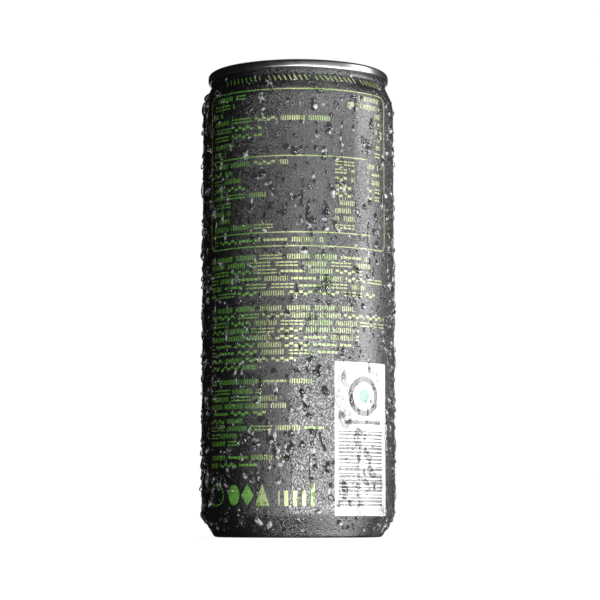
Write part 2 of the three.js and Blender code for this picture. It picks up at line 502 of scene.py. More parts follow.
def on_wall(along, height, out):
    """Points over the wall: along it from the front, up it, and out from it, in millimetres."""
    radius = np.interp(height, WALL[:, 1], WALL[:, 0])
    lean = np.interp(height, WALL[:, 1], WALL_LEAN)
    reach = radius + out * np.cos(lean)
    turn = along / BODY_RADIUS
    rise = height + out * np.sin(lean)
    return np.stack((reach * np.sin(turn), -reach * np.cos(turn), rise), axis=-1)


def rise_on_wall(height, up):
    """The height of a point a way up the wall's face from another."""
    return height + up * np.cos(np.interp(height, WALL[:, 1], WALL_LEAN))


def chuck_radius(depth, out):
    """The sloping wall inside the seam, moved out by a gap, at a depth below the top."""
    lean = math.radians(CHUCK_LEAN)
    drop = (depth - CHUCK_TOP_DEPTH) * math.tan(lean)
    return SEAM_INNER_RADIUS - drop + out / math.cos(lean)


def draws(seed):
    """The park-miller sequence, as numbers from 0 to 1."""
    state = seed
    while True:
        state = state * 48271 % 2147483647
        yield state / 2147483647


def water():
    """Clear water tinted grey as painted shade, with a skin that ripples a little. Part of the
    lamps' light passes through it.
    """
    shader = Shader(bpy.data.materials.new("shade_tinted_water"))
    *_, point = shader.place()
    sockets = {
        # The grey base colour darkens what shows through the drops: painted shade.
        "Base Color": (0.62, 0.62, 0.62),
        "Roughness": 0.1,
        "IOR": 1.33,
        "Transmission Weight": 1.0,
        "Normal": shader.bump(shader.noise(point, 0.8), 0.00001),
    }
    body = shader.node("ShaderNodeBsdfPrincipled", inputs=sockets)
    clear = shader.node("ShaderNodeBsdfTransparent", inputs={"Color": (0.55, 0.55, 0.55)})
    from_lamp = shader.node("ShaderNodeLightPath", output="Is Shadow Ray")
    surface = shader.node("ShaderNodeMixShader", inputs={0: from_lamp, 1: body, 2: clear})
    shader.node("ShaderNodeOutputMaterial", inputs={"Surface": surface})
    return shader.block


def domes(drops, sides, rings, next_draw, wobble, bulge=1.0):
    """Drops on the wall as closed caps, and how many faces their undersides have.

    A drop is (along, height, radius across, radius up, thickness). Their outlines wobble, they
    lean a little, and their crowns hang low. Undersides come first. A bulge of 0.5 makes a half
    ball, and 1 a flatter cap.
    """
    drops = np.array(drops)
    middles, radii, heights = drops[:, :2], drops[:, 2:4], drops[:, 4]
    count = len(drops)
    angle = np.arange(sides) * 2 * math.pi / sides
    spread = np.linspace(1, CROWN_SHARE, rings)
    lift = (1 - spread**CAP_POWER) ** bulge
    phase = np.array([[next(next_draw) * 2 * math.pi for _ in range(3)] for _ in range(count)])
    outline = 1 + sum(
        wobble / order * np.cos(order * angle + phase[:, i : i + 1])
        for i, order in enumerate((1, 2, 3))
    )
    reach = radii[:, 0, None] * outline
    tall = radii[:, 1, None] * outline
    leans = np.array([next(next_draw) - LEAN_DRAW for _ in range(count)])
    slant = leans[:, None, None] * LEAN_SHARE
    narrow = 1 - TOP_NARROWING * np.sin(angle)
    across = reach[:, None, :] * np.cos(angle) * narrow * spread[None, :, None]
    low = -CROWN_SAG * radii[:, 0]
    sag = low[:, None, None] * lift[None, :, None]
    up = tall[:, None, :] * np.sin(angle) * spread[None, :, None] + sag
    across = across + slant * up
    out = heights[:, None, None] * lift[None, :, None] + 0 * across + DROP_GAP
    along = middles[:, 0, None, None] + across
    height = rise_on_wall(middles[:, 1, None, None], up)
    skin = on_wall(along, height, out).reshape(count, -1, 3)
    crown_up = rise_on_wall(middles[:, 1], low)
    crown_along = middles[:, 0] + low * slant[:, 0, 0]
    crown = on_wall(crown_along, crown_up, heights + DROP_GAP)[:, None]
    base = on_wall(middles[:, 0], middles[:, 1], 0 * heights + DROP_GAP)[:, None]
    points = np.concatenate((skin, crown, base), axis=1)
    size = rings * sides + 2
    here = np.arange(sides)
    after = (here + 1) % sides
    last = (rings - 1) * sides
    under = np.stack((0 * here + size - 1, after, here), axis=1)
    top = np.stack((last + here, last + after, 0 * here + size - 2), axis=1)
    ring = np.arange(rings - 1)[:, None] * sides
    wall = np.stack((ring + here, ring + after, ring + sides + after, ring + sides + here), axis=-1)
    starts = np.arange(count)[:, None, None] * size
    faces = []
    for pattern in (under, top, wall.reshape(-1, 4)):
        faces += (starts + pattern).reshape(-1, pattern.shape[1]).tolist()
    return points.reshape(-1, 3), faces, count * sides


def drawn(pair, share):
    """The least value of a pair, and a share of how much a draw can add."""
    least, more = pair
    return least + more * share


def run_tracks(count, seed):
    """The tracks that drops have run down: (along, top, length, half width, bend, phase)."""
    draw = draws(seed)
    tracks = []
    around = 2 * math.pi * BODY_RADIUS
    for i in range(count):
        length = drawn(RUN_LENGTH, next(draw) ** RUN_LENGTH_POWER)
        top = max(drawn(RUN_TOP, next(draw)), length + RUN_LOWEST)
        along = ((i * GOLDEN_TURN + 0.1 * next(draw)) % 1 - 0.5) * around
        half = drawn(RUN_HALF_WIDTH, next(draw))
        bend = drawn(RUN_BEND, next(draw))
        tracks.append((along, top, length, half, bend, 6.28 * next(draw)))
    return tracks


def track_middle(track, share):
    """Where the middle of a track runs, at a share of its length from the top."""
    along, top, length, _, bend, phase = track
    sway = bend * (np.sin(share * length * RUN_WAVE + phase) - math.sin(phase))
    return along + sway, top - share * length


class DressBody(bpy.types.Operator):
    """Make the body's fine shell with its printed, misted coat"""

    bl_idname = "drink_can.dress_body"
    bl_label = "Body"

    def execute(self, context):
        points, faces = turned(self.profile(), BODY_SIDES)
        finish = coat(context.scene.can_coat)
        mesh_piece("can_shell", points, faces, finish, "can_body")
        return {"FINISHED"}

    def profile(self):
        sag = DOME_HEIGHT - DOME_EDGE_HEIGHT
        dome_radius = (DOME_EDGE_RADIUS**2 + sag**2) / (2 * sag)
        edge = 90 - math.degrees(math.asin(DOME_EDGE_RADIUS / dome_radius))
        inner = STAND_RADIUS - STAND_WIDTH
        top = CAN_HEIGHT - SEAM_DEPTH + 0.4
        floor = CAN_HEIGHT - SINK_DEPTH - SHEET - RIVET_GAP
        gap = SHEET + 0.1
        return [
            *arc(0, DOME_HEIGHT - dome_radius, dome_radius, 90, edge, 24),
            *arc(inner, STAND_BEAD, STAND_BEAD, -180 + STAND_INNER_LEAN, -90, 8),
            *WALL,
            (NECK_RADIUS, top),
            (chuck_radius(CAN_HEIGHT - top, gap), top),
            (chuck_radius(CAN_HEIGHT - floor, gap), floor),
            (0, floor),
        ]


class Print:
    """The masks of the print, from the way along the wall and the height in millimetres."""

    # A block of rows has its top, its step, and columns of starts and ends.
    SCALE = 60.0
    LINE = 0.15
    CAP = 1.3
    ADVANCE = 1.25
    WORD = 6.0
    TABLE = (-27.0,)
    TEXT = (-28.4,)
    ROWS = (
        (118.2, 2.13, (TABLE, (-15.0, -18.7, -23.3, 8.6, -10.0, -9.8, -19.0, -22.0)),
         ((17.5, 13.7, 23.7, 23.7, 23.7, 23.7, 23.7, 23.7), (26.5,))),
        (99.9, 2.145, (TABLE, (-2.7, -19.4, -15.6, -14.5, -8.8, -18.6, -20.0, -20.3, -6.8)),
         ((10.2,), (16.1,)),
         ((20.9,), (25.8, 26.1, 26.1, 26.1, 26.1, 20.0, 20.0, 20.0, 20.0))),
        (79.0, 2.0, (TABLE, (7.1,))),
        (74.45, 1.95, (TEXT, (21.3, 22.1, 18.9, 27.6, 19.8, 23.7))),
        (60.7, 1.95, (TEXT, (15.8, 28.3, 28.3, 17.5, 17.5, 15.1, 10.8, -0.3, -11.5))),
        (41.3, 2.0, (TEXT, (3.6,))),
        (38.75, 1.965, (TEXT, (-10.0, -4.5, -3.2, -8.7, -15.4, 6.9, -16.2, -16.6))),
        (21.2, 2.0, (TEXT, (-4.5, -10.9))),
    )
    FRAME_HALF = 28.8
    FRAME_TOP = 119.8
    FRAME_FOOT = 77.3
    FRAME_CORNER = 2.2
    CROSS_LINES = ((101.6, 20.2), (81.0, 22.2))
    NECK_UP = 123.1
    NECK_HALF = 0.75
    NECK_PITCH = 1.5
    NECK_GAPS = 14.5
    NECK_ENDS = (-26.0, 29.5)
    SIGN_ENDS = (8.4, 14.1)
    SIGN_PITCH = 4.45
    DISC_RADIUS = 1.9
    BAR_PITCH = 2.35
    BACK_UP = 78.0
    BACK_RING = 14.0
    BACK_DISC = 6.0
    BACK_HALF = 40
    PANEL = (9.95, 29.0, 5.8, 46.6)
    CODE = (11.0, 27.0, 8.1, 28.2)
    CODE_STEP = 0.93
    BADGE = (19.4, 37.6)
    BADGE_RADIUS = 4.6
    BADGE_BAR = (12.6, 26.2, 30.1, 31.1)

    def __init__(self, shader, along, height):
        self.shader = shader
        self.along = along
        self.height = height
        self.share = along * (1 / self.SCALE) + 0.5
        self.text = 0.0
        self.level = 0.0
        self.row = 0.0

    def steps(self, values, position):
        """A value for each row of a block, read by the row's number."""
        if len(set(values)) == 1:
            return values[0] / self.SCALE + 0.5
        count = len(values)
        stops = [(i / count, (value / self.SCALE + 0.5,) * 3) for i, value in enumerate(values)]
        return self.shader.node(
            "ShaderNodeValToRGB", {"stops": ["CONSTANT", *stops]}, {"Fac": position}
        )

    def block(self, top, step, *columns):
        """Rows of print under each other. A column gives where each row starts and ends."""
        count = max(len(ends) for _, ends in columns)
        fall = (top + self.CAP / 2 - self.height) * (1 / step)
        row, rest = fall.split()
        part = rest * (step / self.CAP)
        on = fall.between(0, count) * (part < 1)
        position = (row + 0.5) * (1 / count)
        for starts, ends in columns:
            start = self.steps(starts, position)
            end = self.steps(ends, position)
            self.text = self.text + on * self.share.between(start, end)
        self.level = self.level + on * part
        self.row = self.row + on * (row + top)

    def rows(self):
        """All the small print, as rows of short blocks that spell nothing."""
        for block in self.ROWS:
            self.block(*block)
        cell = self.along * (1 / self.ADVANCE)
        number, part = cell.split()
        word, place = (cell * (1 / self.WORD) + self.chance(self.row, 0.0) * 7).split()
        kind = self.chance(word, self.row)
        down = self.level
        bars = abs(abs(part - 0.55) - 0.26) < 0.12
        solid = part > 0.18
        dashes = solid * (abs(abs(down - 0.5) - 0.33) < 0.14)
        dots = solid * (abs(down - 0.5) < 0.25)
        steps = solid * (abs(down - 0.3 - 0.4 * ((number * 0.5).math("FRACT") > 0.25)) < 0.25)
        kinds = ((0.0, 0.42, bars), (0.42, 0.66, dashes), (0.66, 0.8, dots), (0.8, 1.0, steps))
        mark = sum(kind.between(least, most) * shape for least, most, shape in kinds)
        return self.text * mark * (place * self.WORD > 0.8)

    def chance(self, first, second):
        """A random number for each pair of whole numbers."""
        colour = self.shader.node(
            "ShaderNodeTexWhiteNoise",
            {"noise_dimensions": "3D"},
            {"Vector": self.shader.vector(first, second)},
            "Color",
        )
        return self.shader.node("ShaderNodeSeparateColor", inputs={0: colour})

    def outside_box(self, across, up, half_across=0.0, half_up=0.0):
        """How far a point lies outside a box, or from its middle if the box has no size."""
        out_across = (abs(across) - half_across).most(0.0)
        out_up = (abs(up) - half_up).most(0.0)
        return (out_across * out_across + out_up * out_up).math("SQRT")

    def level_line(self, height):
        return abs(self.height - height) < self.LINE

    def frame_lines(self):
        """A thin frame with round corners, and two lines from its left side."""
        corner = self.FRAME_CORNER
        middle = (self.FRAME_TOP + self.FRAME_FOOT) / 2
        half = (self.FRAME_TOP - self.FRAME_FOOT) / 2
        up = self.height - middle
        out = self.outside_box(self.along, up, self.FRAME_HALF - corner, half - corner)
        lines = abs(out - corner) < self.LINE
        for height, right in self.CROSS_LINES:
            lines = lines + self.level_line(height) * self.along.between(-self.FRAME_HALF, right)
        return lines.least(1.0)

    def neck_strokes(self):
        """Thin slanted strokes round the neck, with gaps."""
        up = self.height - self.NECK_UP
        _, place = ((self.along + up * 0.6) * (1 / self.NECK_PITCH)).split()
        thin = abs(place - 0.5) < 0.13
        gap = ((self.along + 40.0) * (1 / self.NECK_GAPS)).math("FRACT") > 0.1
        return thin * gap * (abs(up) < self.NECK_HALF) * self.along.between(*self.NECK_ENDS)

    def large_signs(self):
        """The row near the foot: a thin ring, a disc, a diamond, a triangle and five bars."""
        along, height = self.along, self.height
        low, high = self.SIGN_ENDS
        middle, half = (low + high) / 2, (high - low) / 2
        up = height - middle
        ring = self.outside_box(along + 25.7, up, 0.4)
        thin = abs(ring - (half - self.LINE)) < 0.14
        number, across = self.nearest(14.1, self.SIGN_PITCH, 1.0)
        squashed = up * 0.7
        disc = self.outside_box(across, squashed) < self.DISC_RADIUS
        diamond = (abs(across) + abs(squashed)) < self.DISC_RADIUS + 0.05
        peak = (abs(across) < (half - up) * 0.36) * (up > -half)
        shapes = (number < -0.5) * disc + (abs(number) < 0.5) * diamond + (number > 0.5) * peak
        _, beside = self.nearest(0.75, self.BAR_PITCH, 2.0)
        bars = (abs(beside) < 0.55) * along.between(-5.2, 3.9) * height.between(low, 12.4)
        tall = along.between(3.4, 4.5) * height.between(low, high)
        return (thin + shapes + bars + tall).least(1.0)

    def nearest(self, start, pitch, most):
        """The number of the nearest in a row of signs, and the way along from its middle."""
        moved = self.along + start
        number = (moved * (1 / pitch)).math("ROUND").most(-most).least(most)
        return number, moved - number * pitch

    def back_design(self):
        """The hidden side: a plain ring, a disc and lines of the same inks."""
        far = math.pi * BODY_RADIUS - abs(self.along)
        away = self.outside_box(far, self.height - self.BACK_UP)
        ring = abs(away - self.BACK_RING) < 1.3
        disc = away < self.BACK_DISC
        top, foot = (self.level_line(up) * (far < self.BACK_HALF) for up in (self.FRAME_TOP, 20.0))
        fall = (self.height - 30.0) * (1 / 2.6)
        row, rest = fall.split()
        rows = fall.between(0, 5) * (rest < 0.5) * (far < (22 - row * 3.2))
        _, place = (self.along * (1 / self.ADVANCE)).split()
        return (ring + disc + top + foot + rows * (place > 0.2)).least(1.0)

    def inside(self, left, right, low, high):
        return self.along.between(left, right) * self.height.between(low, high)

    def masks(self):
        """Where ink, the white field, the dark marks on it and the green disc lie."""
        ink = self.rows() + self.frame_lines() + self.neck_strokes()
        ink = ink + self.large_signs() + self.back_design()
        number, place = (self.height * (1 / self.CODE_STEP)).split()
        chance = self.shader.node(
            "ShaderNodeTexWhiteNoise", {"noise_dimensions": "1D"}, {"W": number}, "Value"
        )
        code = self.inside(*self.CODE) * (place < (0.36 + chance * 0.56))
        across, up = self.BADGE
        away = self.outside_box(self.along - across, self.height - up)
        badge = abs(away - self.BADGE_RADIUS) < 0.8
        dark = (code + badge + self.inside(*self.BADGE_BAR)).least(1.0)
        return ink.least(1.0), self.inside(*self.PANEL), dark, away < self.DISC_RADIUS


def ink_with_painted_light(shader, along, finish):
    """Green at the left, pale yellow in the middle, greener again and then pale at the right:
    painted light.
    """
    green, yellow = Vector(finish.green), Vector(finish.yellow)
    # Part of this ramp is painted light and shade: darker green where the can's left side lies in
    # shade, paler yellow where its middle is lit.
    inks = (
        (-28.6, Vector(OLIVE)),
        (-26, green),
        (-14, green * 1.1),
        (-6.5, yellow * 0.65),
        (-1, yellow),
        (3.5, green.lerp(yellow, 0.38)),
        (8.5, green.lerp(yellow, 0.36)),
        (12, yellow * 0.62),
        (22, yellow * 0.54),
        (27, green.lerp(yellow, 0.45)),
    )
    scale = Print.SCALE
    stops = ["LINEAR", *(((way + scale / 2) / scale, ink) for way, ink in inks)]
    return shader.node("ShaderNodeValToRGB", {"stops": stops}, {"Fac": along * (1 / scale) + 0.5})


def misted(shader, point, along, height, finish):
    """The mist's height on the coat, its beads, and where it is patchy."""
    near = shader.node(
        "ShaderNodeTexVoronoi",
        {"feature": "F1"},
        {"Vector": point, "Scale": 1 / finish.grain, "Randomness": 1.0},
        "Distance",
    )
    beads = (1 - near * near * 2.6).most(0.0)
    veins = shader.noise(point, 1.2 / finish.grain)
    mist = beads * (0.7 + veins * 0.5) + veins * 0.1
    patchy = shader.noise(point, 0.11)
    turns = DRIED_TURNS / BODY_RADIUS
    dried = (along * turns - DRIED_ALONG * turns).math("COSINE").step(*DRIED_EDGE)
    low, high, share = MIST_NECK
    upper = 1 - height.step(low, high) * share
    # Thinner mist to the left: its grey there is painted shade on the can's shaded left side, with
    # fewer bumps too.
    low, high, share = MIST_LEFT_SHADE
    aside = 1 - (-along).step(low, high) * share
    mist = mist * (0.7 + height * 0.007 + patchy * 0.15) * (1 - dried * DRIED_SHARE)
    return mist * upper * aside, beads, patchy


def coat(finish, wet=False):
    """The printed coat: pebbled with mist, or smooth with pale painted light where water stands on
    it.
    """
    shader = Shader(bpy.data.materials.new("wet_coat_painted_glow" if wet else "printed_coat"))
    x, y, z, point = shader.place()
    along = x.math("ARCTAN2", -y) * BODY_RADIUS
    ink, panel, dark, leaf = Print(shader, along, z).masks()
    if wet:
        # Pale patches under the water are painted light, standing in for light that the drops
        # gather and scatter.
        ground = shader.mix(shader.noise(point, 0.75, 1.0).step(0.5, 0.72), *WET_BLACK_AND_PAINTED_GLOW)
    else:
        mist, beads, patchy = misted(shader, point, along, z, finish)
        ground = shader.mix((mist - 0.4).most(0.0) * 1.6, finish.black, finish.mist)
    colour = shader.mix(ink, ground, ink_with_painted_light(shader, along, finish))
    colour = shader.mix(panel, colour, finish.white)
    colour = shader.mix(dark, colour, DARK_MARK)
    colour = shader.mix(leaf, colour, LEAF_GREEN)
    if wet:
        return shader.finish(Base_Color=colour, Roughness=0.3, Specular_IOR_Level=0.1)
    rough = 0.27 + patchy * 0.08 - beads * 0.12
    normal = shader.bump(mist, finish.grain_height)
    return shader.finish(
        Base_Color=colour, Roughness=rough, Specular_IOR_Level=0.95, Normal=normal
    )


class DressWater(bpy.types.Operator):
    """Make the large drops, the smaller ones, the beads and the runs of water"""

    bl_idname = "drink_can.dress_water"
    bl_label = "Water"

    def execute(self, context):
        amount = context.scene.can_water
        self.skin = water()
        self.wet = coat(context.scene.can_coat, wet=True)
        self.large()
        for name, drops, sizes, skew, stretch, sides, rings, later, bulge in DROP_KINDS:
            shape = (sizes, skew, stretch, sides, rings)
            self.scattered(name, getattr(amount, drops), *shape, amount.seed + later, bulge)
        self.runs(run_tracks(amount.runs, amount.seed + RUN_SEED))
        return {"FINISHED"}

    def make(self, name, points, faces, under):
        """A piece of water whose underside shows the wet coat."""
        return mesh_piece(name, points, faces, self.skin, under=(self.wet, under))

    def large(self):
        draw = draws(LARGE_SEED)
        span = LARGE_HIGHEST - LARGE_LOWEST
        least, most = LARGE_RADII
        drops = []
        for i in range(LARGE_COUNT):
            height = LARGE_LOWEST + span * (i + next(draw)) / LARGE_COUNT
            turn = i * GOLDEN_TURN + LARGE_TURN_JITTER * (next(draw) - 0.5)
            radius = least + (most - least) * next(draw) ** 2
            stretch = 1 + LARGE_STRETCH * next(draw)
            along = (turn + 0.25) % 1 * 2 * math.pi * BODY_RADIUS
            drops.append((along, height, radius, radius * stretch, radius * LARGE_HEIGHT_SHARE))
        shape = domes(drops, LARGE_SIDES, LARGE_RINGS, draws(LARGE_WOBBLE_SEED), LARGE_WOBBLE)
        piece = self.make("large_drops", *shape)
        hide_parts("can_body")

    def scattered(self, name, count, sizes, skew, stretch, sides, rings, seed, bulge):
        draw = draws(1000 + seed)
        low, high = SCATTER_ENDS
        least, most = sizes
        around = 2 * math.pi * BODY_RADIUS
        drops = []
        for i in range(count):
            height = low + (high - low) * ((i + next(draw)) / count) ** SCATTER_POWER
            along = (i * GOLDEN_TURN + 0.5 * next(draw)) % 1 * around
            radius = least + (most - least) * next(draw) ** skew
            tall = radius * (0.9 + stretch * next(draw) ** 2)
            thick = radius * drawn(SCATTER_THICKNESS, next(draw)) / bulge**0.5
            drops.append((along, height, radius, tall, thick))
        shape = domes(drops, sides, rings, draws(2000 + seed), SCATTER_WOBBLE * bulge, bulge)
        self.make(name, *shape)

    def runs(self, tracks):
        across = np.cos(np.linspace(math.pi, 0, RUN_COLUMNS))
        share = (1 - np.cos(np.linspace(0, math.pi, RUN_ROWS))) / 2
        points, floors, skins = [], [], []
        for track in tracks:
            _, _, length, half, _, _ = track
            middle, height = track_middle(track, share)
            head = np.exp(-(((1 - share) * length / (1.6 * half)) ** 2))
            taper = np.clip(share * length / (3 * half), 0, 1) ** 0.7
            close = np.sqrt(np.clip(1 - np.clip(1 - (1 - share) * length / half, 0, 1) ** 2, 0, 1))
            width = half * (0.7 * taper + 0.5 * head) * close + 0.02
            thick = (RUN_TAIL_THICKNESS * taper + 0.5 * head * half) * close
            out = thick[:, None] * (1 - across**2)[None] + 2 * DROP_GAP
            along = middle[:, None] + width[:, None] * across[None]
            floor, skin = self.slab(len(points), RUN_ROWS, RUN_COLUMNS)
            for over in (out, DROP_GAP + 0 * out):
                layer = on_wall(along, height[:, None] + 0 * along, over)
                points.extend(layer.reshape(-1, 3).tolist())
            floors += floor
            skins += skin
        self.make("water_runs", points, floors + skins, len(floors))

    def slab(self, base, rows, columns):
        """Faces of a floor and of the skin over it, both of rows by columns points.

        The points of the skin come first, and their rows go down.
        """
        under = base + rows * columns
        floor, skin = [], []
        for i in range(rows - 1):
            for j in range(columns - 1):
                a, b = i * columns + j, (i + 1) * columns + j
                skin.append((base + b, base + b + 1, base + a + 1, base + a))
                floor.append((under + a, under + a + 1, under + b + 1, under + b))
            left, right = i * columns, (i + 1) * columns - 1
            for p, q in ((left, left + columns), (right + columns, right)):
                skin.append((base + p, under + p, under + q, base + q))
        last = (rows - 1) * columns
        for j in range(columns - 1):
            for p, near, far in ((j, base, under), (last + j, under, base)):
                skin.append((near + p, near + p + 1, far + p + 1, far + p))
        return floor, skin


def brushed(name, colour, roughness, scored=False):
    """Rolled aluminium with fine lines round the can's axis."""
    shader = Shader(bpy.data.materials.new(name))
    x, y, z, point = shader.place()
    radius = (x * x + y * y).math("SQRT")
    rings = shader.noise(shader.vector(radius * 9.0, z * 9.0), 1.0, 3.0)
    cloud = shader.noise(point, 0.35, 3.0)
    height = rings * 0.25
    if scored:
        across = x * (1 / MOUTH_HALF[0])
        along = (y - MOUTH_Y) * (1 / MOUTH_HALF[1])
        oval = (across * across + along * along).math("SQRT")
        edge = (abs(oval - 1) * MOUTH_HALF[1]).step(0.06, 0.2)
        height = height + edge * 6.0 * (z > CAN_HEIGHT - PANEL_DEPTH - 1)
    rough = roughness + cloud * 0.1
    tint = shader.mix(cloud, [part * 0.93 for part in colour], colour)
    normal = shader.bump(height, 0.00002)
    return shader.finish(Base_Color=tint, Metallic=1.0, Roughness=rough, Normal=normal)


def outside_teardrop(x, y, front, back):
    """How far a point lies outside the outline round two circles on the Y axis."""
    (front_y, front_radius), (back_y, back_radius) = front, back
    length = back_y - front_y
    lean = (front_radius - back_radius) / length
    side = math.sqrt(1 - lean * lean)
    x, y = np.abs(x), y - front_y
    along = -lean * x + side * y
    at_front = np.hypot(x, y) - front_radius
    at_back = np.hypot(x, y - length) - back_radius
    between = side * x + lean * y - front_radius
    return np.where(along < 0, at_front, np.where(along > side * length, at_back, between))


def oval_share(x, y, middle, half):
    """A point's distance from the middle of an oval, as a share of the way to its outline."""
    return np.hypot(x / half[0], (y - middle) / half[1])


def eased(value, low, high):
    share = np.clip((value - low) / (high - low), 0, 1)
    return share * share * (3 - 2 * share)


class DressEnd(bpy.types.Operator):
    """Make the end with its seam, panel, mouth and rivet"""

    bl_idname = "drink_can.dress_end"
    bl_label = "End"

    def execute(self, context):
        metal = brushed("bare_aluminium", (0.26, 0.265, 0.27), 0.24, scored=True)
        points, faces = turned(self.profile(), END_SIDES)
        points = np.array(points)
        x, y, z = points.T
        panel = CAN_HEIGHT - PANEL_DEPTH
        inside = (np.hypot(x, y) < SINK_RADIUS - SINK_HALF_WIDTH - PANEL_EDGE) & (z > panel - 0.2)
        points[inside, 2] = panel + self.relief(x[inside], y[inside])
        rivet_points, rivet_faces = turned(self.rivet(), 40)
        faces += [tuple(i + len(points) for i in face) for face in rivet_faces]
        points = np.concatenate((points, np.array(rivet_points)))
        mesh_piece("end_shell", points, faces, metal, "can_end")
        return {"FINISHED"}

    def profile(self):
        top = CAN_HEIGHT
        crown = (SEAM_RADIUS - SEAM_INNER_RADIUS) / 2
        wall = SINK_RADIUS - SINK_HALF_WIDTH
        floor = top - SINK_DEPTH - SHEET
        valley = top - SINK_DEPTH + SINK_HALF_WIDTH
        panel = top - PANEL_DEPTH
        under = chuck_radius(SINK_DEPTH + SHEET, SHEET)
        hem = top - SEAM_DEPTH
        rings = np.arange(wall - PANEL_EDGE - PANEL_RING_STEP, 0.1, -PANEL_RING_STEP)
        return [
            (0, floor),
            *((radius, floor) for radius in np.linspace(2, under, 8)),
            (chuck_radius(SEAM_DEPTH, SHEET), hem + HEM_LOWEST),
            *arc(SEAM_RADIUS - HEM_RADIUS, hem + HEM_MIDDLE, HEM_RADIUS, -85, 0, 8, HEM_RISE),
            (SEAM_RADIUS + SEAM_BULGE, top - SEAM_DEPTH / 2),
            *arc(SEAM_RADIUS - crown, top - SEAM_SHOULDER, crown, 0, 90, 12, SEAM_SHOULDER),
            *arc(SEAM_RADIUS - crown, top - SEAM_CROWN, crown, 90, 180, 9, SEAM_CROWN)[1:],
            (SEAM_INNER_RADIUS, top - CHUCK_TOP_DEPTH),
            *((chuck_radius(depth, 0), top - depth) for depth in np.linspace(*CHUCK_ROWS)),
            *arc(SINK_RADIUS, valley, SINK_HALF_WIDTH, -CHUCK_LEAN, -180, 10),
            *arc(wall - PANEL_EDGE, panel - PANEL_EDGE, PANEL_EDGE, 0, 90, 6),
            *((radius, panel) for radius in rings),
            (0, panel),
        ]

    def relief(self, x, y):
        """The panel's height over its flat: the sunk field, the mouth's bead and the dish."""
        sunk = eased(-outside_teardrop(x, y, FIELD_FRONT, FIELD_BACK), -0.25, 0.35)
        bead = oval_share(x, y, BEAD_Y, BEAD_HALF)
        dish = np.hypot(x, y - DISH_Y) / DISH_RADIUS
        mouth = oval_share(x, y, MOUTH_Y, MOUTH_HALF)
        ridge = RIDGE_HEIGHT * np.exp(-(((mouth - RIDGE_SHARE) * MOUTH_HALF[1] / RIDGE_WIDTH) ** 2))
        return (
            -FIELD_DEPTH * sunk
            + BEAD_HEIGHT * eased(1.15 - bead, 0, 0.75)
            - DISH_DEPTH * eased(1 - dish, 0, 0.8)
            + ridge
        )

    def rivet(self):
        panel = CAN_HEIGHT - PANEL_DEPTH
        head = panel + TAB_WEB_TOP + RIVET_GAP
        radius, height = RIVET_HEAD
        return [
            (0, panel - FIELD_DEPTH - SHEET),
            (RIVET_RADIUS, panel - FIELD_DEPTH - SHEET),
            (RIVET_RADIUS, head),
            (radius - 0.1, head),
            *arc(radius - height / 2, head + height / 2, height / 2, -60, 90, 8),
            *((way, head + height - depth) for way, depth in RIVET_DIMPLE),
        ]


